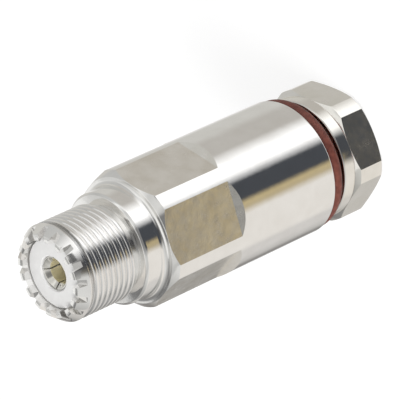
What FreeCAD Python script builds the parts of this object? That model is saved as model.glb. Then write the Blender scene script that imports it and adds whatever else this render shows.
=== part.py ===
import FreeCAD, Part
import math
import os

# UHF socket connector of the clamp type, for a 15 mm coaxial cable
# It stands on the rear face of its clamp nut, with its axis along +Z.
# The origin is the centre of that face, and the socket end is at the top.
# All sizes are in millimetres and all angles in degrees.

# Cable that goes in
cable_jacket_d = 15.0
cable_jacket_wall = 1.25
cable_core_d = 4.5

# Coupling thread, 5/8-24, right-handed, from a start groove below a plain land
coupling_d = 15.875
coupling_length = 8.9
coupling_turns_per_inch = 24
coupling_thread_depth = 0.45
coupling_root_width = 0.13
coupling_thread_angle = 60.0
coupling_meeting_angle = -23.7
start_land_length = 0.2
start_groove_width = 0.85
start_groove_depth = 0.5
lead_in_length = 1.7
lead_in_depth = 1.21
runout_length = 0.7
relief_length = 0.75
relief_depth = 0.79

# Crown of teeth round the socket
tooth_count = 16
notch_depth = 1.25
notch_floor_width = 0.9
notch_flare = 0.2
crown_wall = 1.03

# Neck between the coupling thread and the grip
neck_length = 3.15
neck_chamfer = 0.35
neck_fillet = 0.85

# Grip, turned from round bar, with milled wrench flats that end in ramps
grip_length = 34.85
shoulder_face = 0.32
shoulder_chamfer = 0.93
flat_count = 6
flat_depth = 0.925
flat_length = 14.12
flat_ramp_length = 1.09
rear_wall = 1.78
rear_edge_round = 0.4
rear_mouth_chamfer = 0.45

# Thread between the nut's shank and the shell, as plain cylinders
rear_thread_depth = 0.62
rear_thread_runout = 0.4

# Clamp nut, with its collar and threaded shank
nut_bar_step = 0.1
nut_side_count = 6
nut_flat_depth = 0.925
nut_hex_height = 5.75
nut_chamfer_width = 0.9
nut_chamfer_angle = 30.0
nut_roll = 8.7
nut_mouth_chamfer = 0.6
collar_step = 0.05
collar_height = 2.15
collar_edge = 0.2
shank_wall = 0.8
shank_relief_depth = 0.25
shank_relief_length = 3.9
shank_lead = 0.5

# Ring seal in the gap between collar and shell
seal_section_d = 2.4
seal_slack = 0.8

# Front insulator
insulator_roof = 0.95
insulator_step = 1.5
insulator_recess = 1.2
insulator_flange_length = 4.0
insulator_mouth_chamfer = 0.2

# Socket contact
contact_recess = 0.35
contact_wall = 0.7
contact_rim_land = 0.2
pin_bore_d = 4.0
pin_bore_depth = 10.0
drill_point_angle = 118.0
slot_count = 4
slot_width = 0.25
slot_length = 7.0
slot_roll = -16.5
contact_flange_step = 0.45
contact_flange_length = 1.6
contact_barrel_step = 0.75
contact_barrel_length = 4.4
solder_cup_wall = 0.85
solder_cup_overhang = 1.5
solder_cup_depth = 9.0
solder_hole_d = 1.4

# Rear bead and clamp set
bead_length = 4.0
clamp_flange_length = 3.0
clamp_ridge_width = 0.9
clamp_ridge_height = 1.3
gasket_length = 8.4
washer_thickness = 1.2

# Clearances on the radius
thread_clearance = 0.05
insulator_clearance = 0.03
contact_clearance = 0.05
clamp_clearance = 0.05
seal_clearance = 0.02
core_clearance = 0.1
braid_clearance = 0.1
gasket_clearance = 0.1
cable_clearance = 0.25

# Length by which a cutting shape runs past what it cuts, and the same for a thread's groove
overcut = 1.0
groove_overcut = 0.1

# Radii from the cable outwards
cable_r = cable_jacket_d / 2
cable_bore_r = cable_r + cable_clearance
gasket_bore_r = cable_r + gasket_clearance
braid_bore_r = cable_r - cable_jacket_wall + braid_clearance
shank_relief_r = cable_bore_r + shank_wall
shank_r = shank_relief_r + shank_relief_depth + rear_thread_depth
rear_thread_r = shank_r + thread_clearance
clamp_bore_r = rear_thread_r - rear_thread_depth
clamp_set_r = clamp_bore_r - clamp_clearance
ridge_r = (gasket_bore_r + clamp_set_r) / 2
grip_r = rear_thread_r + rear_wall
grip_flat_r = grip_r - flat_depth
neck_r = grip_r - shoulder_chamfer - shoulder_face - neck_fillet
nut_bar_r = grip_r - nut_bar_step
nut_flat_r = nut_bar_r - nut_flat_depth
nut_chamfer_r = nut_bar_r - nut_chamfer_width
collar_r = nut_chamfer_r - collar_step

# Radii from the coupling thread inwards
coupling_pitch = 25.4 / coupling_turns_per_inch
coupling_r = coupling_d / 2
coupling_root_r = coupling_r - coupling_thread_depth
start_groove_r = coupling_r - start_groove_depth
relief_r = coupling_r - relief_depth
lead_in_tip_r = coupling_r - lead_in_depth
socket_bore_r = lead_in_tip_r - crown_wall
line_bore_r = socket_bore_r + insulator_step
nose_r = socket_bore_r - insulator_clearance
flange_r = line_bore_r - insulator_clearance

# Radii of the contact
pin_bore_r = pin_bore_d / 2
contact_r = pin_bore_r + contact_wall
core_bore_r = cable_core_d / 2 + core_clearance
solder_cup_r = core_bore_r + solder_cup_wall
contact_barrel_r = solder_cup_r + contact_barrel_step
contact_flange_r = contact_barrel_r + contact_flange_step

# Heights of the nut and the shell, from the floor up
collar_top_z = nut_hex_height + collar_height
shell_foot_z = collar_top_z + seal_section_d + seal_slack
shoulder_z = shell_foot_z + grip_length
neck_foot_z = shoulder_z + neck_fillet
neck_top_z = neck_foot_z + neck_length
relief_top_z = neck_top_z + relief_length
thread_foot_z = relief_top_z + runout_length
thread_top_z = thread_foot_z + coupling_length
start_groove_top_z = thread_top_z - start_land_length
start_groove_foot_z = start_groove_top_z - start_groove_width
crown_z = thread_top_z + lead_in_length

# Heights of what the shell holds, from the crown down
insulator_face_z = crown_z - insulator_recess
contact_top_z = insulator_face_z - contact_recess
insulator_seat_z = neck_top_z - insulator_roof
contact_seat_z = insulator_seat_z - insulator_flange_length
barrel_top_z = contact_seat_z - contact_flange_length
bead_top_z = barrel_top_z - contact_barrel_length
clamp_seat_z = bead_top_z - bead_length
solder_cup_foot_z = clamp_seat_z - solder_cup_overhang
gasket_top_z = clamp_seat_z - clamp_flange_length
gasket_foot_z = gasket_top_z - gasket_length
shank_top_z = gasket_foot_z - washer_thickness
rear_thread_top_z = shank_top_z + rear_thread_runout
shank_relief_top_z = collar_top_z + shank_relief_length


def turned(points, arcs=None):
    """Solid turned about Z from a closed outline of (radius, height) points.

    arcs gives, for the number of an edge, the point that its arc passes through.
    """
    arcs = arcs or {}
    corners = [FreeCAD.Vector(r, 0, z) for r, z in points]
    edges = []
    for i, start in enumerate(corners):
        end = corners[(i + 1) % len(corners)]
        if i in arcs:
            middle = FreeCAD.Vector(arcs[i][0], 0, arcs[i][1])
            edges.append(Part.Arc(start, middle, end).toShape())
        else:
            edges.append(Part.makeLine(start, end))
    face = Part.Face(Part.Wire(edges))
    return face.revolve(FreeCAD.Vector(0, 0, 0), FreeCAD.Vector(0, 0, 1), 360)


def around(shape, count, first):
    """Copies of a shape at even angles about Z, from the angle of the first."""
    copies = []
    for i in range(count):
        copy = shape.copy()
        copy.rotate(FreeCAD.Vector(0, 0, 0), FreeCAD.Vector(0, 0, 1), first + i * 360.0 / count)
        copies.append(copy)
    return copies


def prism(points, direction):
    """Solid swept along a vector from a closed flat outline."""
    corners = [FreeCAD.Vector(*point) for point in points]
    wire = Part.makePolygon(corners + corners[:1])
    return Part.Face(wire).extrude(FreeCAD.Vector(*direction))


def wrench_flat_cut():
    """Cut of one wrench flat: level from the shoulder, then a ramp out of the bar."""
    foot_z = shoulder_z - flat_length
    beyond_r = grip_r + overcut
    ramp_slope = flat_ramp_length / flat_depth
    ramp_foot_z = foot_z - ramp_slope * (beyond_r - grip_flat_r)
    outline = [
        (grip_flat_r, -grip_r, neck_foot_z),
        (grip_flat_r, -grip_r, foot_z),
        (beyond_r, -grip_r, ramp_foot_z),
        (beyond_r, -grip_r, neck_foot_z),
    ]
    return prism(outline, (0, 2 * grip_r, 0))


def crown_notch_cut():
    """Cut of one notch between two teeth, wider at its mouth than at its floor."""
    inner_r = socket_bore_r - overcut
    floor_z = crown_z - notch_depth
    half_floor = notch_floor_width / 2
    half_mouth = half_floor + notch_flare * (notch_depth + overcut) / notch_depth
    outline = [
        (inner_r, -half_floor, floor_z),
        (inner_r, half_floor, floor_z),
        (inner_r, half_mouth, crown_z + overcut),
        (inner_r, -half_mouth, crown_z + overcut),
    ]
    return prism(outline, (coupling_r + overcut - inner_r, 0, 0))


def coupling_thread_cut():
    """Cut of the coupling thread: one groove along a helix, from the relief to the start groove."""
    flank = math.tan(math.radians(coupling_thread_angle / 2))
    half_root = coupling_root_width / 2
    beyond_r = coupling_r + groove_overcut
    half_mouth = half_root + flank * (beyond_r - coupling_root_r)
    # The helix starts in the open, a little below the top of the relief.
    helix_foot_z = relief_top_z - coupling_pitch / 5
    helix_top_z = (start_groove_foot_z + start_groove_top_z) / 2
    helix_height = helix_top_z - helix_foot_z
    helix = Part.makeHelix(coupling_pitch, helix_height, coupling_root_r)
    corners = [
        FreeCAD.Vector(coupling_root_r, 0, -half_root),
        FreeCAD.Vector(beyond_r, 0, -half_mouth),
        FreeCAD.Vector(beyond_r, 0, half_mouth),
        FreeCAD.Vector(coupling_root_r, 0, half_root),
    ]
    sweep = Part.BRepOffsetAPI.MakePipeShell(Part.Wire(helix.Edges))
    sweep.setBiNormalMode(FreeCAD.Vector(0, 0, 1))
    sweep.add(Part.makePolygon(corners + corners[:1]), False, False)
    sweep.build()
    sweep.makeSolid()
    groove = sweep.shape()
    # The top end of the helix is turned to the angle at which it meets the start groove.
    turned_by = coupling_meeting_angle - 360.0 * helix_height / coupling_pitch
    groove.rotate(FreeCAD.Vector(0, 0, 0), FreeCAD.Vector(0, 0, 1), turned_by)
    groove.translate(FreeCAD.Vector(0, 0, helix_foot_z))
    return groove


def connector_shell():
    """One turned shell: crown, coupling thread, neck and grip, bored from both ends."""
    # The middle of a quarter-circle arc lies this share of its radius from each side.
    arc_share = 1 - math.sqrt(0.5)
    edge_in = rear_edge_round * arc_share
    fillet_in = neck_fillet * arc_share
    start_side = start_groove_depth * math.tan(math.radians(coupling_thread_angle / 2))
    outline = [
        (grip_r - rear_edge_round, shell_foot_z),
        (grip_r, shell_foot_z + rear_edge_round),
        (grip_r, shoulder_z - shoulder_chamfer),
        (grip_r - shoulder_chamfer, shoulder_z),
        (neck_r + neck_fillet, shoulder_z),
        (neck_r, neck_foot_z),
        (neck_r, neck_top_z - neck_chamfer),
        (neck_r - neck_chamfer, neck_top_z),
        (relief_r, neck_top_z),
        (relief_r, relief_top_z),
        (coupling_r, thread_foot_z),
        (coupling_r, start_groove_foot_z),
        (start_groove_r, start_groove_foot_z + start_side),
        (start_groove_r, start_groove_top_z - start_side),
        (coupling_r, start_groove_top_z),
        (coupling_r, thread_top_z),
        (lead_in_tip_r, crown_z),
        (socket_bore_r, crown_z),
        (socket_bore_r, insulator_seat_z),
        (line_bore_r, insulator_seat_z),
        (line_bore_r, clamp_seat_z),
        (clamp_bore_r, clamp_seat_z),
        (clamp_bore_r, rear_thread_top_z),
        (rear_thread_r, rear_thread_top_z),
        (rear_thread_r, shell_foot_z + rear_mouth_chamfer),
        (rear_thread_r + rear_mouth_chamfer, shell_foot_z),
    ]
    arcs = {
        0: (grip_r - edge_in, shell_foot_z + edge_in),
        4: (neck_r + fillet_in, shoulder_z + fillet_in),
    }
    shell = turned(outline, arcs)
    # The seam of the turned faces is kept away from where the thread meets the start groove.
    shell.rotate(FreeCAD.Vector(0, 0, 0), FreeCAD.Vector(0, 0, 1), coupling_meeting_angle - 150.0)
    flats = around(wrench_flat_cut(), flat_count, -90.0)
    notches = around(crown_notch_cut(), tooth_count, 180.0 / tooth_count)
    return shell.cut(flats).cut(notches).cut(coupling_thread_cut())


def clamp_nut():
    """Hexagon, collar and threaded shank in one, with the bore for the cable through it."""
    chamfer_height = nut_chamfer_width * math.tan(math.radians(nut_chamfer_angle))
    outline = [
        (cable_bore_r + nut_mouth_chamfer, 0),
        (nut_chamfer_r, 0),
        (nut_bar_r, chamfer_height),
        (nut_bar_r, nut_hex_height - chamfer_height),
        (nut_chamfer_r, nut_hex_height),
        (collar_r, nut_hex_height),
        (collar_r, collar_top_z - collar_edge),
        (collar_r - collar_edge, collar_top_z),
        (shank_relief_r, collar_top_z),
        (shank_relief_r, shank_relief_top_z),
        (shank_r, shank_relief_top_z + shank_r - shank_relief_r),
        (shank_r, shank_top_z - shank_lead),
        (shank_r - shank_lead, shank_top_z),
        (cable_bore_r, shank_top_z),
        (cable_bore_r, nut_mouth_chamfer),
    ]
    nut = turned(outline)
    side_outline = [
        (nut_flat_r, -nut_bar_r, -overcut),
        (nut_bar_r + overcut, -nut_bar_r, -overcut),
        (nut_bar_r + overcut, nut_bar_r, -overcut),
        (nut_flat_r, nut_bar_r, -overcut),
    ]
    side_cut = prism(side_outline, (0, 0, nut_hex_height + overcut))
    return nut.cut(around(side_cut, nut_side_count, nut_roll - 90.0))


def nut_o_ring():
    """Ring seal on the relief of the shank, up against the end of the shell."""
    section_r = seal_section_d / 2
    ring_r = shank_relief_r + seal_clearance + section_r
    ring_z = shell_foot_z - seal_clearance - section_r
    return Part.makeTorus(ring_r, section_r, FreeCAD.Vector(0, 0, ring_z))


def front_insulator():
    """Insulator with a nose, which is the white face in the crown, and a flange below it."""
    hole_r = contact_r + contact_clearance
    outline = [
        (hole_r, contact_seat_z),
        (flange_r, contact_seat_z),
        (flange_r, insulator_seat_z),
        (nose_r, insulator_seat_z),
        (nose_r, insulator_face_z - insulator_mouth_chamfer),
        (nose_r - insulator_mouth_chamfer, insulator_face_z),
        (hole_r + insulator_mouth_chamfer, insulator_face_z),
        (hole_r, insulator_face_z - insulator_mouth_chamfer),
    ]
    return turned(outline)


def socket_contact():
    """Slotted socket at the top, flange under the insulator, solder cup at the bottom."""
    drill_tan = math.tan(math.radians(drill_point_angle / 2))
    pin_bore_end_z = contact_top_z - pin_bore_depth
    cup_end_z = solder_cup_foot_z + solder_cup_depth
    mouth_chamfer = contact_wall - contact_rim_land
    outline = [
        (0, pin_bore_end_z - pin_bore_r / drill_tan),
        (pin_bore_r, pin_bore_end_z),
        (pin_bore_r, contact_top_z - mouth_chamfer),
        (pin_bore_r + mouth_chamfer, contact_top_z),
        (contact_r, contact_top_z),
        (contact_r, contact_seat_z),
        (contact_flange_r, contact_seat_z),
        (contact_flange_r, barrel_top_z),
        (contact_barrel_r, barrel_top_z),
        (contact_barrel_r, bead_top_z),
        (solder_cup_r, bead_top_z),
        (solder_cup_r, solder_cup_foot_z),
        (core_bore_r, solder_cup_foot_z),
        (core_bore_r, cup_end_z),
        (0, cup_end_z + core_bore_r / drill_tan),
    ]
    contact = turned(outline)
    slot_cut = Part.makeBox(
        contact_r + overcut,
        slot_width,
        slot_length + overcut,
        FreeCAD.Vector(0, -slot_width / 2, contact_top_z - slot_length),
    )
    solder_hole = Part.makeCylinder(
        solder_hole_d / 2,
        contact_barrel_r + overcut,
        FreeCAD.Vector(0, 0, (barrel_top_z + bead_top_z) / 2),
        FreeCAD.Vector(0, -1, 0),
    )
    return contact.cut(around(slot_cut, slot_count, slot_roll) + [solder_hole])


def rear_bead():
    """Insulating bead that centres the solder cup in the shell."""
    outline = [
        (solder_cup_r + contact_clearance, clamp_seat_z),
        (flange_r, clamp_seat_z),
        (flange_r, bead_top_z),
        (solder_cup_r + contact_clearance, bead_top_z),
    ]
    return turned(outline)


# Ridge of the clamp and groove of the gasket, as one set of (radius, height) points
ridge_outline = [
    (ridge_r - clamp_ridge_width / 2, gasket_top_z),
    (ridge_r, gasket_top_z - clamp_ridge_height),
    (ridge_r + clamp_ridge_width / 2, gasket_top_z),
]


def braid_clamp():
    """Metal ring that holds the folded braid, with a ridge that bites into the gasket."""
    outline = [
        (braid_bore_r, clamp_seat_z),
        (braid_bore_r, gasket_top_z),
        *ridge_outline,
        (clamp_set_r, gasket_top_z),
        (clamp_set_r, clamp_seat_z),
    ]
    return turned(outline)


def cable_gasket():
    """Rubber sleeve that the nut squeezes onto the jacket of the cable."""
    outline = [
        (gasket_bore_r, gasket_foot_z),
        (gasket_bore_r, gasket_top_z),
        *ridge_outline,
        (clamp_set_r, gasket_top_z),
        (clamp_set_r, gasket_foot_z),
    ]
    return turned(outline)


def thrust_washer():
    """Flat washer between the gasket and the turning nut."""
    outline = [
        (cable_bore_r, shank_top_z),
        (clamp_set_r, shank_top_z),
        (clamp_set_r, gasket_foot_z),
        (cable_bore_r, gasket_foot_z),
    ]
    return turned(outline)


os.makedirs("parts", exist_ok=True)
nodes = {
    "connector_shell": connector_shell(),
    "clamp_nut": clamp_nut(),
    "nut_o_ring": nut_o_ring(),
    "front_insulator": front_insulator(),
    "socket_contact": socket_contact(),
    "rear_bead": rear_bead(),
    "braid_clamp": braid_clamp(),
    "cable_gasket": cable_gasket(),
    "thrust_washer": thrust_washer(),
}
for name, shape in nodes.items():
    shape.exportStep("parts/" + name + ".step")
    print(name, shape.isValid(), len(shape.Solids), round(shape.Volume, 1))
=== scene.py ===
import bmesh
import bpy
import math
from mathutils import Matrix, Vector


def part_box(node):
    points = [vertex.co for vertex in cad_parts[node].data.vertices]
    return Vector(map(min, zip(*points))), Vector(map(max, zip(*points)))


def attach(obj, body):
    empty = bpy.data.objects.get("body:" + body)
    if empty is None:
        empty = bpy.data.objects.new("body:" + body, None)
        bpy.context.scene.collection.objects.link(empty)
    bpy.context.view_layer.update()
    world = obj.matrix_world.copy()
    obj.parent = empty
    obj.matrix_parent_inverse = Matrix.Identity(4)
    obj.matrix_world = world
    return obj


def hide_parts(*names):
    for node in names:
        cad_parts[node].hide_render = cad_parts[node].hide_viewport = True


# UHF socket connector: finishes, threads, light and camera
# Sizes are in millimetres and angles in degrees; meshes are made in metres.

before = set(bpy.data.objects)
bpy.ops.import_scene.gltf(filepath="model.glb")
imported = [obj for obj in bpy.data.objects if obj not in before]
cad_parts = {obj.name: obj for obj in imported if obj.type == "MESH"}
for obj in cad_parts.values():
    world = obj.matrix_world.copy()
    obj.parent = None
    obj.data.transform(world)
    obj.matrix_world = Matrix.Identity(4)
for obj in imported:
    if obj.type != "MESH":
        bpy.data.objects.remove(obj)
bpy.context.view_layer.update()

MM = 0.001

# Fineness of the meshes
TURN_STEPS = 320
SMALL_TURN_STEPS = 240
WALL_STEPS = 96
COUPLING_ROWS_PER_TURN = 18
SHANK_ROWS_PER_TURN = 12
REAR_ROUND_STEPS = 5
NECK_FILLET_STEPS = 8
SEAL_STEPS = 40

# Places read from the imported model
shell_low, shell_high = [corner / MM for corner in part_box("connector_shell")]
nut_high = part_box("clamp_nut")[1] / MM
ring_low, ring_high = [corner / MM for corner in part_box("nut_o_ring")]
insulator_low, insulator_high = [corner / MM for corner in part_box("front_insulator")]
contact_low, contact_high = [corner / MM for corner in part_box("socket_contact")]
shell_foot_z = shell_low.z
crown_z = shell_high.z
grip_r = shell_high.x

# Coupling end of the shell
coupling_r = 7.9375
coupling_pitch = 25.4 / 24
coupling_length = 8.9
coupling_depth = 0.4
coupling_meeting_angle = 8.0
start_land_length = 0.2
start_groove_width = 0.85
start_groove_depth = 0.5
start_groove_side = 0.11
lead_in_tip_r = 6.7275
socket_bore_r = 5.6975
runout_length = 0.7
relief_length = 0.75
relief_r = 7.1475
tooth_count = 16
notch_depth = 1.25
notch_floor_width = 0.9
notch_flare = 0.2
notch_floor_rise = 0.4
notch_floor_fall = 9.0

# Neck and grip of the shell
neck_r = 9.15
neck_chamfer = 0.35
neck_fillet = 0.85
neck_length = 3.15
shoulder_chamfer = 0.93
grip_length = 34.85
flat_count = 6
flat_depth = 0.925
flat_length = 14.12
flat_ramp_length = 1.09
rear_edge_round = 0.4

# Bores of the shell
line_bore_r = 7.1975
clamp_bore_r = 8.85
clamp_seat_z = 35.0
rear_thread_r = 9.47
rear_thread_runout = 0.4
rear_mouth_chamfer = 0.45

# Clamp nut
nut_side_count = 6
nut_bar_r = 11.15
nut_flat_r = 10.225
nut_chamfer_r = 10.25
nut_chamfer_height = 0.52
nut_hex_height = 5.75
nut_roll = 8.7
nut_mouth_chamfer = 0.6
collar_r = 10.2
collar_height = 2.15
collar_edge = 0.2
cable_bore_r = 7.75
shank_r = 9.42
shank_relief_r = 8.55
shank_relief_length = 3.9
shank_pitch = 1.0
shank_depth = 0.4
shank_tip_chamfer = 0.5

# Socket contact, whose fingers close in at the mouth, and front insulator
contact_r = 2.7
pin_bore_r = 2.0
pin_bore_depth = 10.0
finger_closing = 0.2
finger_mouth_depth = 0.7
contact_rim_land = 0.2
contact_flange_r = 4.4
contact_flange_length = 1.6
contact_barrel_r = 3.95
contact_barrel_length = 4.4
solder_cup_r = 3.2
core_bore_r = 2.35
solder_cup_depth = 9.0
drill_point_angle = 118.0
slot_count = 4
slot_width = 0.25
slot_length = 7.0
slot_roll = -16.5
insulator_clearance = 0.03
insulator_flange_length = 4.0
insulator_edge = 0.2
contact_clearance = 0.05

# Small rounds at the turned edges of each material
metal_edge = 0.07
contact_edge = 0.05
plastic_edge = 0.08
round_least_turn = 20.0
round_share = 0.35

# Points of a turned mesh that are nearer than this become one, as on the axis.
same_point = 1e-5

# A thread's crests are wider than its rounded grooves, as this power is above 1.
thread_groove_power = 2.5

# Cutters of flats reach this far to each side of their middle, where neighbours don't touch.
# All cutters pass the faces that they cut away by the overcut.
flat_half_angle = 27.0
overcut = 1.0

# How far a zone with its own finish stays from, or reaches past, the faces at its border
zone_margin = 0.05
bore_margin = 0.02

# Edges steeper than this stay sharp, also between two faces with different finishes.
sharp_angle = 35
finish_angle = 12
large_face_weight = 80


def softened(outline, edge):
    """Outline of (radius, height) points with a small round at each corner."""
    points = []
    count = len(outline)
    for i, corner in enumerate(outline):
        here = Vector(corner)
        back = Vector(outline[i - 1]) - here
        ahead = Vector(outline[(i + 1) % count]) - here
        turn = math.pi - back.angle(ahead)
        if turn < math.radians(round_least_turn) or corner[0] <= 0:
            points.append(here)
            continue
        trim = min(edge, round_share * back.length, round_share * ahead.length)
        first = here + back.normalized() * trim
        last = here + ahead.normalized() * trim
        for t in (0.0, 0.33, 0.67, 1.0):
            points.append(first * (1 - t) ** 2 + here * 2 * t * (1 - t) + last * t ** 2)
    return points


def arc(centre, radius, start, end, steps):
    """Points of an arc in the outline's plane, its two ends included."""
    points = []
    for i in range(steps + 1):
        angle = math.radians(start + (end - start) * i / steps)
        points.append((centre[0] + radius * math.cos(angle), centre[1] + radius * math.sin(angle)))
    return points


def new_object(name, bm):
    """Object in the scene from a bmesh whose sizes are in millimetres."""
    bm.normal_update()
    bmesh.ops.recalc_face_normals(bm, faces=bm.faces)
    bmesh.ops.scale(bm, vec=(MM, MM, MM), verts=bm.verts)
    mesh = bpy.data.meshes.new(name)
    bm.to_mesh(mesh)
    bm.free()
    piece = bpy.data.objects.new(name, mesh)
    bpy.context.scene.collection.objects.link(piece)
    return piece


def rows(foot_z, top_z, spacing):
    """Even heights between a foot and a top, both left out."""
    count = math.ceil((top_z - foot_z) / spacing)
    return [foot_z + (top_z - foot_z) * i / count for i in range(1, count)]


def thread(crest_r, depth, pitch, foot_z, meeting_z, meeting_angle):
    """Surface of a right-hand thread with rounded grooves, as a radius by height and angle.

    Its first groove starts at the meeting height and angle and winds down from there.
    """
    def radius(z, angle):
        behind = (math.radians(meeting_angle) - angle) / (2 * math.pi) % 1
        turns = (meeting_z - z) / pitch - behind
        # Nothing is cut below the foot, nor above the crest before the first groove.
        if z < foot_z or turns < -0.5:
            return math.inf
        wave = 0.5 + 0.5 * math.cos(2 * math.pi * turns)
        return crest_r - depth * wave ** thread_groove_power
    return radius


def lathe(name, outline, steps=TURN_STEPS, surface=None):
    """Solid turned about Z from a closed outline of (radius, height) points.

    surface gives the largest radius at a height and an angle.
    """
    bm = bmesh.new()
    rings = []
    for i in range(steps):
        angle = 2 * math.pi * i / steps
        cos, sin = math.cos(angle), math.sin(angle)
        ring = []
        for r, z in outline:
            if surface:
                r = min(r, surface(z, angle))
            ring.append(bm.verts.new((r * cos, r * sin, z)))
        rings.append(ring)
    for i, ring in enumerate(rings):
        following = rings[(i + 1) % steps]
        for j in range(len(outline)):
            k = (j + 1) % len(outline)
            if outline[j][0] <= 0 and outline[k][0] <= 0:
                continue
            bm.faces.new((ring[j], following[j], following[k], ring[k]))
    bmesh.ops.remove_doubles(bm, verts=bm.verts, dist=same_point)
    return new_object(name, bm)


def add_prism(bm, outline, direction):
    """Adds a prism, swept along a vector from a flat outline of 3-D points."""
    foot = [bm.verts.new(point) for point in outline]
    top = [bm.verts.new(Vector(point) + Vector(direction)) for point in outline]
    bm.faces.new(foot)
    bm.faces.new(reversed(top))
    for i in range(len(outline)):
        k = (i + 1) % len(outline)
        bm.faces.new((foot[k], foot[i], top[i], top[k]))


def prisms_around(name, outline, direction, count, first):
    """Cutter of prisms at even angles about Z."""
    bm = bmesh.new()
    for i in range(count):
        turn = Matrix.Rotation(math.radians(first + i * 360.0 / count), 3, "Z")
        add_prism(bm, [turn @ Vector(point) for point in outline], turn @ Vector(direction))
    return new_object(name, bm)


def finish_zone(piece, finish, foot_z, top_z, inner_r, outer_r=math.inf):
    """Gives the faces between two heights and two radii their own finish."""
    piece.data.materials.append(finish)
    index = len(piece.data.materials) - 1
    for face in piece.data.polygons:
        centre = face.center / MM
        if foot_z < centre.z < top_z and inner_r < centre.xy.length < outer_r:
            face.material_index = index


def cut(piece, cutter, finish):
    """Cuts the cutter's shape out of a piece, and gives the new faces that finish."""
    cutter.data.materials.append(finish)
    step = piece.modifiers.new("cut", "BOOLEAN")
    step.operation = "DIFFERENCE"
    step.solver = "EXACT"
    step.material_mode = "TRANSFER"
    step.object = cutter
    graph = bpy.context.evaluated_depsgraph_get()
    graph.update()
    mesh = bpy.data.meshes.new_from_object(piece.evaluated_get(graph))
    piece.modifiers.clear()
    piece.data = mesh
    bpy.data.objects.remove(cutter)


def shade(piece):
    """Smooth shading that stays sharp at steep edges, and at less steep ones between finishes."""
    bm = bmesh.new()
    bm.from_mesh(piece.data)
    for face in bm.faces:
        face.smooth = True
    for edge in bm.edges:
        if len(edge.link_faces) != 2:
            continue
        one, other = edge.link_faces
        limit = sharp_angle if one.material_index == other.material_index else finish_angle
        edge.smooth = one.normal.angle(other.normal, 0) < math.radians(limit)
    bm.to_mesh(piece.data)
    bm.free()
    # Large faces stay flat up to the small rounds at their edges.
    weighting = piece.modifiers.new("weighting", "WEIGHTED_NORMAL")
    weighting.keep_sharp = True
    weighting.weight = large_face_weight


def dress(piece, body, node):
    """Makes a piece stand for a CAD node and ride on its body."""
    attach(piece, body)
    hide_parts(node)


def new_material(name):
    """Material with a Principled shader; returns it, its node tree and the shader."""
    material = bpy.data.materials.new(name)
    material.use_nodes = True
    tree = material.node_tree
    return material, tree, tree.nodes["Principled BSDF"]


# Noise: its usual range, and on metal its cells a metre for each effect
noise_low = 0.3
noise_high = 0.7
patch_cells = 300
gloss_cells = 900
wave_cells = 700
line_cells = 9000
line_stretch = (0.03, 0.03, 1)
line_depth = 0.0006
gloss_least = 0.8
gloss_most = 1.25
tone_cells_share = 0.4


def add_noise(tree, scale, detail=3.0, stretch=(1, 1, 1)):
    """Noise over the object's own space, with its scale in cells a metre."""
    place = tree.nodes.new("ShaderNodeTexCoord")
    mapping = tree.nodes.new("ShaderNodeMapping")
    mapping.inputs["Scale"].default_value = stretch
    noise = tree.nodes.new("ShaderNodeTexNoise")
    noise.inputs["Scale"].default_value = scale
    noise.inputs["Detail"].default_value = detail
    tree.links.new(place.outputs["Object"], mapping.inputs["Vector"])
    tree.links.new(mapping.outputs["Vector"], noise.inputs["Vector"])
    return noise


def add_range(tree, source, low, high):
    """Value from low to high over the noise's usual range."""
    node = tree.nodes.new("ShaderNodeMapRange")
    node.inputs["From Min"].default_value = noise_low
    node.inputs["From Max"].default_value = noise_high
    node.inputs["To Min"].default_value = low
    node.inputs["To Max"].default_value = high
    tree.links.new(source, node.inputs["Value"])
    return node.outputs["Result"]


def add_tones(tree, source, dark, light):
    """Colour between two tones over the noise's usual range."""
    ramp = tree.nodes.new("ShaderNodeValToRGB")
    ramp.color_ramp.elements[0].position = noise_low
    ramp.color_ramp.elements[0].color = (*dark, 1)
    ramp.color_ramp.elements[1].position = noise_high
    ramp.color_ramp.elements[1].color = (*light, 1)
    tree.links.new(source, ramp.inputs["Fac"])
    return ramp.outputs["Color"]


def add_bump(tree, shader, source, distance, before=None):
    """Bump of a real height in millimetres under the shader's normal."""
    bump = tree.nodes.new("ShaderNodeBump")
    bump.inputs["Distance"].default_value = distance * MM
    tree.links.new(source, bump.inputs["Height"])
    if before is not None:
        tree.links.new(before, bump.inputs["Normal"])
    tree.links.new(bump.outputs["Normal"], shader.inputs["Normal"])
    return bump.outputs["Normal"]


def plated_metal(name, dark, light, rough, ripple, metallic=1.0):
    """Bright plate over turned metal: slight ripple, turning lines and uneven gloss."""
    material, tree, shader = new_material(name)
    shader.inputs["Metallic"].default_value = metallic
    patches = add_noise(tree, patch_cells, detail=2.0)
    tones = add_tones(tree, patches.outputs["Fac"], dark, light)
    tree.links.new(tones, shader.inputs["Base Color"])
    gloss = add_noise(tree, gloss_cells, detail=4.0)
    roughness = add_range(tree, gloss.outputs["Fac"], rough * gloss_least, rough * gloss_most)
    tree.links.new(roughness, shader.inputs["Roughness"])
    waves = add_noise(tree, wave_cells)
    normal = add_bump(tree, shader, waves.outputs["Fac"], ripple)
    lines = add_noise(tree, line_cells, detail=2.0, stretch=line_stretch)
    add_bump(tree, shader, lines.outputs["Fac"], line_depth, before=normal)
    return material


def plain_finish(name, dark, light, rough, grain, grain_scale):
    """Plastic or rubber: two near tones, a rough gloss and a fine grain."""
    material, tree, shader = new_material(name)
    patches = add_noise(tree, grain_scale * tone_cells_share)
    tones = add_tones(tree, patches.outputs["Fac"], dark, light)
    tree.links.new(tones, shader.inputs["Base Color"])
    shader.inputs["Roughness"].default_value = rough
    bumps = add_noise(tree, grain_scale, detail=4.0)
    add_bump(tree, shader, bumps.outputs["Fac"], grain)
    return material


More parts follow.
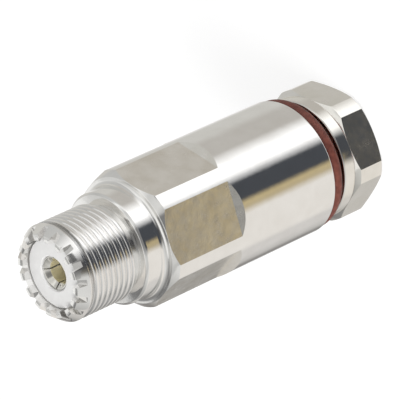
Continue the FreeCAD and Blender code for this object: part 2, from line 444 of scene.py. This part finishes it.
# Each finish has its darker and lighter tone, its roughness and its ripple in millimetres.
turned_plate = plated_metal("turned_plate", (0.90, 0.89, 0.87), (0.95, 0.945, 0.93), 0.09, 0.007)
thread_plate = plated_metal("thread_plate", (0.88, 0.87, 0.85), (0.94, 0.93, 0.92), 0.12, 0.003)
milled_plate = plated_metal("milled_plate", (0.87, 0.84, 0.775), (0.99, 0.975, 0.935), 0.22, 0.02)
tooth_plate = plated_metal("tooth_plate", (0.90, 0.89, 0.87), (0.96, 0.95, 0.94), 0.12, 0.003)
# The crown's bore above the insulator has a darker plate than the outside: painted shade in that recess.
crown_bore_painted_shade = plated_metal("crown_bore_painted_shade", (0.54, 0.53, 0.50), (0.64, 0.63, 0.60), 0.3, 0.003)
# The start groove has a darker plate than the thread beside it: painted shade in the groove.
start_groove_painted_shade = plated_metal("start_groove_painted_shade", (0.60, 0.60, 0.59), (0.70, 0.69, 0.68), 0.25, 0.003)
nut_plate = plated_metal("nut_plate", (0.88, 0.86, 0.81), (0.94, 0.92, 0.88), 0.11, 0.004)
nut_milled_plate = plated_metal("nut_milled_plate", (0.86, 0.84, 0.78), (0.92, 0.90, 0.86), 0.22, 0.010)
contact_plate = plated_metal("contact_plate", (0.86, 0.84, 0.78), (0.93, 0.92, 0.88), 0.15, 0.003)
bore_plate = plated_metal("bore_plate", (0.72, 0.66, 0.44), (0.80, 0.74, 0.52), 0.5, 0.003, metallic=0.3)
bare_brass = plated_metal("bare_brass", (0.66, 0.48, 0.22), (0.76, 0.60, 0.32), 0.2, 0.003)

# The last two numbers are the height of the grain in millimetres and its cells a metre.
white_tones = (0.74, 0.735, 0.725), (0.78, 0.775, 0.765)
# The seal's red is the rubber's colour made darker all over: painted shade for the ring sitting between
# shell and nut.
rubber_tones_with_painted_shade = (0.14, 0.032, 0.02), (0.23, 0.062, 0.04)
black_tones = (0.012, 0.012, 0.012), (0.03, 0.03, 0.03)
insulator_white = plain_finish("insulator_white", *white_tones, 0.38, 0.002, 2500)
seal_red = plain_finish("seal_red", *rubber_tones_with_painted_shade, 0.5, 0.004, 3000)
gasket_black = plain_finish("gasket_black", *black_tones, 0.6, 0.006, 3000)


def make_shell():
    """Shell with its crown of teeth, coupling thread, wrench flats and bores."""
    shoulder_z = shell_foot_z + grip_length
    neck_foot_z = shoulder_z + neck_fillet
    neck_top_z = neck_foot_z + neck_length
    relief_top_z = neck_top_z + relief_length
    thread_foot_z = relief_top_z + runout_length
    thread_top_z = thread_foot_z + coupling_length
    rear_thread_top_z = nut_high.z + rear_thread_runout
    start_top_z = thread_top_z - start_land_length
    start_foot_z = start_top_z - start_groove_width
    start_groove_r = coupling_r - start_groove_depth
    spacing = coupling_pitch / COUPLING_ROWS_PER_TURN
    runout_slope = (coupling_r - relief_r) / runout_length
    runout_rows = rows(relief_top_z, thread_foot_z, spacing)
    rear_round_centre = (grip_r - rear_edge_round, shell_foot_z + rear_edge_round)
    # Two more points keep the neck's faces upright between its fillet and its chamfer.
    outside = [
        *arc(rear_round_centre, rear_edge_round, -90, 0, REAR_ROUND_STEPS),
        (grip_r, shoulder_z - shoulder_chamfer),
        (grip_r - shoulder_chamfer, shoulder_z),
        *arc((neck_r + neck_fillet, neck_foot_z), neck_fillet, 270, 180, NECK_FILLET_STEPS),
        (neck_r, neck_foot_z + metal_edge),
        (neck_r, neck_top_z - 2 * neck_chamfer),
        (neck_r, neck_top_z - neck_chamfer),
        (neck_r - neck_chamfer, neck_top_z),
        (relief_r, neck_top_z),
        (relief_r, relief_top_z),
        *[(relief_r + runout_slope * (z - relief_top_z), z) for z in runout_rows],
        (coupling_r, thread_foot_z),
        *[(coupling_r, z) for z in rows(thread_foot_z, start_foot_z, spacing)],
        (coupling_r, start_foot_z),
        (start_groove_r, start_foot_z + start_groove_side),
        (start_groove_r, start_top_z - start_groove_side),
        (coupling_r, start_top_z),
        (coupling_r, thread_top_z),
        (lead_in_tip_r, crown_z),
        (socket_bore_r, crown_z),
    ]
    inside = [
        (socket_bore_r, insulator_low.z + insulator_flange_length),
        (line_bore_r, insulator_low.z + insulator_flange_length),
        (line_bore_r, clamp_seat_z),
        (clamp_bore_r, clamp_seat_z),
        (clamp_bore_r, rear_thread_top_z),
        (rear_thread_r, rear_thread_top_z),
        (rear_thread_r, shell_foot_z + rear_mouth_chamfer),
        (rear_thread_r + rear_mouth_chamfer, shell_foot_z),
    ]
    surface = thread(
        coupling_r,
        coupling_depth,
        coupling_pitch,
        relief_top_z,
        (start_foot_z + start_top_z) / 2,
        coupling_meeting_angle,
    )
    shell = lathe("shell_body", softened(outside + inside, metal_edge), surface=surface)
    shell.data.materials.append(turned_plate)
    cut(shell, notch_cutter(), tooth_plate)
    cut(shell, wrench_flat_cutter(shoulder_z, neck_foot_z), milled_plate)
    finish_zone(shell, thread_plate, relief_top_z, thread_top_z, relief_r)
    # The start groove's faces take the darker plate of painted shade.
    finish_zone(shell, start_groove_painted_shade, start_foot_z, start_top_z, relief_r, coupling_r - zone_margin)
    # The bore wall between the insulator and the crown takes the darker plate of painted shade.
    bore_top_z = crown_z - zone_margin
    finish_zone(shell, crown_bore_painted_shade, insulator_high.z, bore_top_z, 0, socket_bore_r + bore_margin)
    shade(shell)
    dress(shell, "shell", "connector_shell")


def wrench_flat_cutter(shoulder_z, top_z):
    """Cutter of the six wrench flats, each with a ramp at its rear end."""
    flat_r = grip_r - flat_depth
    foot_z = shoulder_z - flat_length
    beyond_r = grip_r + overcut
    ramp_foot_z = foot_z - flat_ramp_length / flat_depth * (beyond_r - flat_r)
    half = flat_r * math.tan(math.radians(flat_half_angle))
    outline = [
        (flat_r, -half, top_z),
        (flat_r, -half, foot_z),
        (beyond_r, -half, ramp_foot_z),
        (beyond_r, -half, top_z),
    ]
    return prisms_around("flat_cutter", outline, (0, 2 * half, 0), flat_count, -90)


def notch_cutter():
    """Cutter of the notches between the crown's teeth, whose floors fall a little outwards."""
    inner_r = socket_bore_r - overcut
    floor_z = crown_z - notch_depth + notch_floor_rise
    half_floor = notch_floor_width / 2
    half_mouth = half_floor + notch_flare * (notch_depth + overcut) / notch_depth
    outline = [
        (inner_r, -half_floor, floor_z),
        (inner_r, half_floor, floor_z),
        (inner_r, half_mouth, crown_z + overcut),
        (inner_r, -half_mouth, crown_z + overcut),
    ]
    reach = coupling_r + overcut - inner_r
    fall = reach * math.tan(math.radians(notch_floor_fall))
    return prisms_around("notch_cutter", outline, (reach, 0, -fall), tooth_count, 180 / tooth_count)


def make_nut():
    """Clamp nut with its hexagon, collar and threaded shank."""
    collar_top_z = nut_hex_height + collar_height
    relief_top_z = collar_top_z + shank_relief_length
    shank_top_z = nut_high.z
    shank_foot_z = relief_top_z + shank_r - shank_relief_r
    tip_foot_z = shank_top_z - shank_tip_chamfer
    spacing = shank_pitch / SHANK_ROWS_PER_TURN
    outline = [
        (cable_bore_r + nut_mouth_chamfer, 0),
        (nut_chamfer_r, 0),
        (nut_bar_r, nut_chamfer_height),
        (nut_bar_r, nut_hex_height - nut_chamfer_height),
        (nut_chamfer_r, nut_hex_height),
        (collar_r, nut_hex_height),
        (collar_r, collar_top_z - collar_edge),
        (collar_r - collar_edge, collar_top_z),
        (shank_relief_r, collar_top_z),
        (shank_relief_r, relief_top_z),
        *[(shank_relief_r + z - relief_top_z, z) for z in rows(relief_top_z, shank_foot_z, spacing)],
        (shank_r, shank_foot_z),
        *[(shank_r, z) for z in rows(shank_foot_z, tip_foot_z, spacing)],
        (shank_r, tip_foot_z),
        (shank_r - shank_tip_chamfer, shank_top_z),
        (cable_bore_r, shank_top_z),
        (cable_bore_r, nut_mouth_chamfer),
    ]
    surface = thread(shank_r, shank_depth, shank_pitch, relief_top_z, shank_top_z + shank_pitch, 0)
    nut = lathe("nut_body", softened(outline, metal_edge), surface=surface)
    nut.data.materials.append(nut_plate)
    half = nut_flat_r * math.tan(math.radians(flat_half_angle))
    beyond_r = nut_bar_r + overcut
    side = [
        (nut_flat_r, -half, -overcut),
        (beyond_r, -half, -overcut),
        (beyond_r, half, -overcut),
        (nut_flat_r, half, -overcut),
    ]
    rise = (0, 0, nut_hex_height + overcut)
    sides = prisms_around("side_cutter", side, rise, nut_side_count, nut_roll - 90)
    cut(nut, sides, nut_milled_plate)
    finish_zone(nut, thread_plate, relief_top_z, shank_top_z, shank_relief_r)
    shade(nut)
    dress(nut, "nut", "clamp_nut")


def make_seal():
    """Ring seal with a round section."""
    section_r = (ring_high.z - ring_low.z) / 2
    ring_r = ring_high.x - section_r
    middle_z = (ring_high.z + ring_low.z) / 2
    outline = arc((ring_r, middle_z), section_r, 0, 360, SEAL_STEPS)[:-1]
    seal = lathe("seal_ring", outline, SMALL_TURN_STEPS)
    # The seal takes the red rubber with its painted shade.
    seal.data.materials.append(seal_red)
    shade(seal)
    dress(seal, "seal", "nut_o_ring")


def make_insulator():
    """Front insulator with its nose and flange."""
    nose_r = socket_bore_r - insulator_clearance
    flange_r = line_bore_r - insulator_clearance
    hole_r = contact_r + contact_clearance
    seat_z = insulator_low.z + insulator_flange_length
    face_z = insulator_high.z
    outline = [
        (hole_r, insulator_low.z),
        (flange_r, insulator_low.z),
        (flange_r, seat_z),
        (nose_r, seat_z),
        (nose_r, face_z - insulator_edge),
        (nose_r - insulator_edge, face_z),
        (hole_r + insulator_edge, face_z),
        (hole_r, face_z - insulator_edge),
    ]
    insulator = lathe("insulator_front", softened(outline, plastic_edge), SMALL_TURN_STEPS)
    insulator.data.materials.append(insulator_white)
    shade(insulator)
    dress(insulator, "shell", "front_insulator")


def make_contact():
    """Slotted socket contact with its flange and solder cup."""
    drill_tan = math.tan(math.radians(drill_point_angle / 2))
    top_z = contact_high.z
    foot_z = contact_low.z
    seat_z = insulator_low.z
    barrel_top_z = seat_z - contact_flange_length
    bead_top_z = barrel_top_z - contact_barrel_length
    mouth_r = contact_r - contact_rim_land
    bore_end_z = top_z - pin_bore_depth
    cup_end_z = foot_z + solder_cup_depth
    outline = [
        (0, bore_end_z - pin_bore_r / drill_tan),
        (pin_bore_r, bore_end_z),
        (pin_bore_r, top_z - slot_length),
        (pin_bore_r - finger_closing, top_z - finger_mouth_depth),
        (mouth_r, top_z),
        (contact_r, top_z),
        (contact_r, seat_z),
        (contact_flange_r, seat_z),
        (contact_flange_r, barrel_top_z),
        (contact_barrel_r, barrel_top_z),
        (contact_barrel_r, bead_top_z),
        (solder_cup_r, bead_top_z),
        (solder_cup_r, foot_z),
        (core_bore_r, foot_z),
        (core_bore_r, cup_end_z),
        (0, cup_end_z + core_bore_r / drill_tan),
    ]
    contact = lathe("contact_socket", softened(outline, contact_edge), SMALL_TURN_STEPS)
    contact.data.materials.append(contact_plate)
    finish_zone(contact, bore_plate, bore_end_z - pin_bore_r, math.inf, 0, pin_bore_r + bore_margin)
    slot = [
        (0, -slot_width / 2, top_z - slot_length),
        (contact_r + overcut, -slot_width / 2, top_z - slot_length),
        (contact_r + overcut, -slot_width / 2, top_z + overcut),
        (0, -slot_width / 2, top_z + overcut),
    ]
    for i in range(slot_count):
        first = slot_roll + i * 360 / slot_count
        cutter = prisms_around("slot_cutter", slot, (0, slot_width, 0), 1, first)
        cut(contact, cutter, contact_plate)
    shade(contact)
    dress(contact, "shell", "socket_contact")


def paint_hidden_pieces():
    """Finishes of the solids inside the shell, which stay as they are."""
    finishes = {
        "rear_bead": insulator_white,
        "braid_clamp": turned_plate,
        "cable_gasket": gasket_black,
        "thrust_washer": bare_brass,
    }
    for node, finish in finishes.items():
        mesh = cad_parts[node].data
        mesh.materials.clear()
        mesh.materials.append(finish)


# Studio seen by the metal: rings of wall above one another, and a ceiling
# Each tone has its angle round the object, from behind it; tones run evenly between two.
low_tones = [
    (0, (0.90, 0.89, 0.88)),
    (12, (0.90, 0.89, 0.88)),
    (30, (0.60, 0.59, 0.56)),
    (64, (0.60, 0.59, 0.56)),
    (80, (0.51, 0.49, 0.46)),
    (112, (0.51, 0.49, 0.46)),
    (134, (1.20, 1.20, 1.20)),
    (154, (1.20, 1.20, 1.20)),
    (170, (0.065, 0.07, 0.08)),
    (196, (0.065, 0.07, 0.08)),
    (204, (0.54, 0.44, 0.25)),
    (211, (0.50, 0.42, 0.27)),
    (222, (0.81, 0.78, 0.74)),
    (278, (0.81, 0.78, 0.74)),
    (288, (0.66, 0.64, 0.62)),
    (302, (0.66, 0.64, 0.62)),
    (318, (0.54, 0.53, 0.51)),
    (332, (0.26, 0.25, 0.24)),
    (338, (0.26, 0.25, 0.24)),
    (350, (0.60, 0.59, 0.58)),
]
# The same wall a little higher, where the dark band is wider and has no warm edge
warm_edge_start = 196
warm_edge_end = 211
middle_tones = [
    *[tone for tone in low_tones if tone[0] < warm_edge_start],
    (208, (0.065, 0.07, 0.08)),
    (216, (0.50, 0.48, 0.45)),
    *[tone for tone in low_tones if tone[0] > warm_edge_end],
]
upper_tones = [
    (0, (0.90, 0.90, 0.89)),
    (12, (0.90, 0.90, 0.89)),
    (30, (0.60, 0.60, 0.59)),
    (60, (0.50, 0.50, 0.49)),
    (108, (0.56, 0.56, 0.55)),
    (134, (1.05, 1.05, 1.05)),
    (155, (1.05, 1.05, 1.05)),
    (166, (0.62, 0.62, 0.62)),
    (178, (0.20, 0.20, 0.20)),
    (185, (0.065, 0.065, 0.07)),
    (196, (0.075, 0.075, 0.075)),
    (205, (0.17, 0.16, 0.14)),
    (216, (0.66, 0.66, 0.65)),
    (264, (0.74, 0.74, 0.73)),
    (290, (0.50, 0.50, 0.49)),
    (325, (0.22, 0.22, 0.22)),
    (346, (0.30, 0.30, 0.30)),
    (355, (0.80, 0.80, 0.79)),
]
step_tones = [
    (0, (0.42, 0.42, 0.41)),
    (4, (0.62, 0.62, 0.61)),
    (23, (0.68, 0.68, 0.67)),
    (39, (0.58, 0.58, 0.57)),
    (55, (0.47, 0.47, 0.46)),
    (87, (0.47, 0.47, 0.46)),
    (100, (0.91, 0.91, 0.90)),
    (123, (0.91, 0.91, 0.90)),
    (131, (0.12, 0.12, 0.12)),
    (171, (0.12, 0.12, 0.12)),
    (180, (0.09, 0.09, 0.09)),
    (199, (0.17, 0.17, 0.17)),
    (215, (0.41, 0.41, 0.40)),
    (231, (0.55, 0.55, 0.54)),
    (263, (0.55, 0.55, 0.54)),
    (280, (0.48, 0.48, 0.48)),
    (295, (0.35, 0.35, 0.34)),
    (327, (0.18, 0.18, 0.18)),
    (343, (0.16, 0.16, 0.16)),
    (356, (0.20, 0.20, 0.20)),
]
high_tones = [
    (0, (0.50, 0.50, 0.49)),
    (100, (0.90, 0.90, 0.89)),
    (123, (0.62, 0.62, 0.61)),
    (150, (0.74, 0.74, 0.73)),
    (158, (0.62, 0.62, 0.61)),
    (165, (0.20, 0.20, 0.20)),
    (205, (0.22, 0.22, 0.22)),
    (216, (0.28, 0.28, 0.28)),
    (230, (0.58, 0.58, 0.57)),
    (250, (0.66, 0.66, 0.65)),
    (280, (0.50, 0.50, 0.49)),
    (330, (0.20, 0.20, 0.20)),
]
ceiling_tones = [
    (0, (0.90, 0.90, 0.89)),
]

# Each ring of wall has its foot and its head as (radius, height) points over the studio's middle.
# The level ceiling is a cone of the least depth.
studio_middle_z = 50
studio_r = 800
ceiling_r = 500
ceiling_z = 1000
least_depth = 1
studio_walls = {
    "wall_low": ((studio_r, -2400), (studio_r, -565), low_tones),
    "wall_middle": ((studio_r, -565), (studio_r, 100), middle_tones),
    "wall_upper": ((studio_r, 100), (studio_r, 572), upper_tones),
    "wall_step": ((studio_r, 572), (studio_r, 700), step_tones),
    "wall_high": ((studio_r, 700), (ceiling_r, ceiling_z), high_tones),
    "ceiling": ((ceiling_r, ceiling_z), (0, ceiling_z), ceiling_tones),
}

# Floor: its tone, and what the camera sees of it, a white made of its own light and the lamps'
floor_half_side = 3000
floor_drop = 0.02
floor_tone = (0.8, 0.8, 0.8, 1)
floor_seen_tone = (0.35, 0.35, 0.35, 1)
floor_seen_glow = (0.75, 0.75, 0.75, 1)

# Soft light from everywhere, and one lamp, with its place in metres
white = (1, 1, 1, 1)
soft_light_strength = 0.6
lamp_size = 0.4
lamp_power = 3.0
lamp_place = (-0.25, -0.35, 0.6)
lamp_aim = (0, 0, 0.03)

# Camera of the photograph, about a point near the axis; the last two are distances in metres.
camera_azimuth = 14.124
camera_elevation = 37.679
camera_roll = 114.591
camera_distance = 519.573
camera_aim = (0.908, 0.228, 29.551)
camera_lens = 298.957
camera_sensor = 36
camera_nearest = 0.01
camera_farthest = 10


def bare_material(name):
    """Material without nodes, and its node tree."""
    material = bpy.data.materials.new(name)
    material.use_nodes = True
    material.node_tree.nodes.clear()
    return material, material.node_tree


def add_wall(name, foot, head, tones):
    """Ring of studio wall between two (radius, height) points that only reflections see."""
    bm = bmesh.new()
    depth = max(head[1] - foot[1], least_depth)
    bmesh.ops.create_cone(
        bm, cap_ends=False, segments=WALL_STEPS, radius1=foot[0], radius2=head[0], depth=depth
    )
    wall = new_object(name, bm)
    wall.visible_camera = False
    wall.visible_diffuse = False
    wall.visible_transmission = False
    wall.visible_shadow = False
    material, tree = bare_material(name)
    place = tree.nodes.new("ShaderNodeTexCoord")
    parts = tree.nodes.new("ShaderNodeSeparateXYZ")
    angle = tree.nodes.new("ShaderNodeMath")
    angle.operation = "ARCTAN2"
    share = tree.nodes.new("ShaderNodeMath")
    share.operation = "MULTIPLY_ADD"
    share.inputs[1].default_value = 1 / (2 * math.pi)
    share.inputs[2].default_value = 0.5
    ramp = tree.nodes.new("ShaderNodeValToRGB")
    glow = tree.nodes.new("ShaderNodeEmission")
    out = tree.nodes.new("ShaderNodeOutputMaterial")
    tree.links.new(place.outputs["Object"], parts.inputs["Vector"])
    tree.links.new(parts.outputs["Y"], angle.inputs[0])
    tree.links.new(parts.outputs["X"], angle.inputs[1])
    tree.links.new(angle.outputs["Value"], share.inputs[0])
    tree.links.new(share.outputs["Value"], ramp.inputs["Fac"])
    tree.links.new(ramp.outputs["Color"], glow.inputs["Color"])
    tree.links.new(glow.outputs["Emission"], out.inputs["Surface"])
    # The ramp starts and ends on the far side of the object from the camera.
    stops = ramp.color_ramp.elements
    stops.remove(stops[1])
    stops[0].position, stops[0].color = 0, (*tones[0][1], 1)
    for angle_round, tone in tones:
        stop = stops.new(1 - angle_round / 360)
        stop.color = (*tone, 1)
    wall.data.materials.append(material)
    wall.rotation_euler.z = math.radians(camera_azimuth - 90)
    wall.location.z = (studio_middle_z + (foot[1] + head[1]) / 2) * MM


def add_floor():
    """Pale floor that the camera sees as white, with the object's soft shadow on it."""
    bm = bmesh.new()
    bmesh.ops.create_grid(bm, x_segments=1, y_segments=1, size=floor_half_side)
    floor = new_object("studio_floor", bm)
    floor.location.z = -floor_drop * MM
    floor.visible_glossy = False
    material, tree = bare_material("pale_floor")
    path = tree.nodes.new("ShaderNodeLightPath")
    glow = tree.nodes.new("ShaderNodeEmission")
    glow.inputs["Color"].default_value = floor_seen_glow
    surface = tree.nodes.new("ShaderNodeBsdfDiffuse")
    surface.inputs["Color"].default_value = floor_seen_tone
    both = tree.nodes.new("ShaderNodeAddShader")
    plain = tree.nodes.new("ShaderNodeBsdfDiffuse")
    plain.inputs["Color"].default_value = floor_tone
    pick = tree.nodes.new("ShaderNodeMixShader")
    out = tree.nodes.new("ShaderNodeOutputMaterial")
    tree.links.new(glow.outputs["Emission"], both.inputs[0])
    tree.links.new(surface.outputs["BSDF"], both.inputs[1])
    tree.links.new(path.outputs["Is Camera Ray"], pick.inputs["Fac"])
    tree.links.new(plain.outputs["BSDF"], pick.inputs[1])
    tree.links.new(both.outputs["Shader"], pick.inputs[2])
    tree.links.new(pick.outputs["Shader"], out.inputs["Surface"])
    floor.data.materials.append(material)


def set_world():
    """White behind everything that is seen directly or in a reflection, and soft light."""
    world = bpy.data.worlds.new("studio")
    bpy.context.scene.world = world
    world.use_nodes = True
    tree = world.node_tree
    tree.nodes.clear()
    path = tree.nodes.new("ShaderNodeLightPath")
    seen = tree.nodes.new("ShaderNodeMath")
    seen.operation = "MAXIMUM"
    also = tree.nodes.new("ShaderNodeMath")
    also.operation = "MAXIMUM"
    backdrop = tree.nodes.new("ShaderNodeBackground")
    backdrop.inputs["Color"].default_value = white
    soft = tree.nodes.new("ShaderNodeBackground")
    soft.inputs["Color"].default_value = white
    soft.inputs["Strength"].default_value = soft_light_strength
    pick = tree.nodes.new("ShaderNodeMixShader")
    out = tree.nodes.new("ShaderNodeOutputWorld")
    tree.links.new(path.outputs["Is Camera Ray"], seen.inputs[0])
    tree.links.new(path.outputs["Is Glossy Ray"], seen.inputs[1])
    tree.links.new(seen.outputs["Value"], also.inputs[0])
    tree.links.new(path.outputs["Is Transmission Ray"], also.inputs[1])
    tree.links.new(also.outputs["Value"], pick.inputs["Fac"])
    tree.links.new(soft.outputs["Background"], pick.inputs[1])
    tree.links.new(backdrop.outputs["Background"], pick.inputs[2])
    tree.links.new(pick.outputs["Shader"], out.inputs["Surface"])


def add_lamp():
    """One large soft lamp above and to the camera's left."""
    lamp = bpy.data.lights.new("soft_lamp", "AREA")
    lamp.size = lamp_size
    lamp.energy = lamp_power
    holder = bpy.data.objects.new("soft_lamp", lamp)
    bpy.context.scene.collection.objects.link(holder)
    holder.location = lamp_place
    holder.rotation_mode = "QUATERNION"
    direction = Vector(lamp_aim) - holder.location
    holder.rotation_quaternion = direction.to_track_quat("-Z", "Y")
    holder.visible_glossy = False


def add_camera():
    """Camera at the photograph's angle to the object, rolled as in the photograph."""
    azimuth, elevation, roll = map(math.radians, (camera_azimuth, camera_elevation, camera_roll))
    back = Vector((
        math.sin(azimuth) * math.cos(elevation),
        -math.cos(azimuth) * math.cos(elevation),
        math.sin(elevation),
    ))
    level = Vector((math.cos(azimuth), math.sin(azimuth), 0))
    upright = back.cross(level)
    up = upright * math.cos(roll) + level * math.sin(roll)
    right = up.cross(back)
    lens = bpy.data.cameras.new("camera")
    lens.sensor_width = camera_sensor
    lens.lens = camera_lens
    lens.clip_start = camera_nearest
    lens.clip_end = camera_farthest
    camera = bpy.data.objects.new("camera", lens)
    bpy.context.scene.collection.objects.link(camera)
    turn = Matrix((right, up, back)).transposed().to_4x4()
    place = (Vector(camera_aim) + back * camera_distance) * MM
    camera.matrix_world = Matrix.Translation(place) @ turn
    bpy.context.scene.camera = camera


add_camera()
make_shell()
make_nut()
make_seal()
make_insulator()
make_contact()
paint_hidden_pieces()
for wall_name, (wall_foot, wall_head, wall_tones) in studio_walls.items():
    add_wall(wall_name, wall_foot, wall_head, wall_tones)
add_floor()
set_world()
add_lamp()
bpy.context.scene.view_settings.view_transform = "Standard"
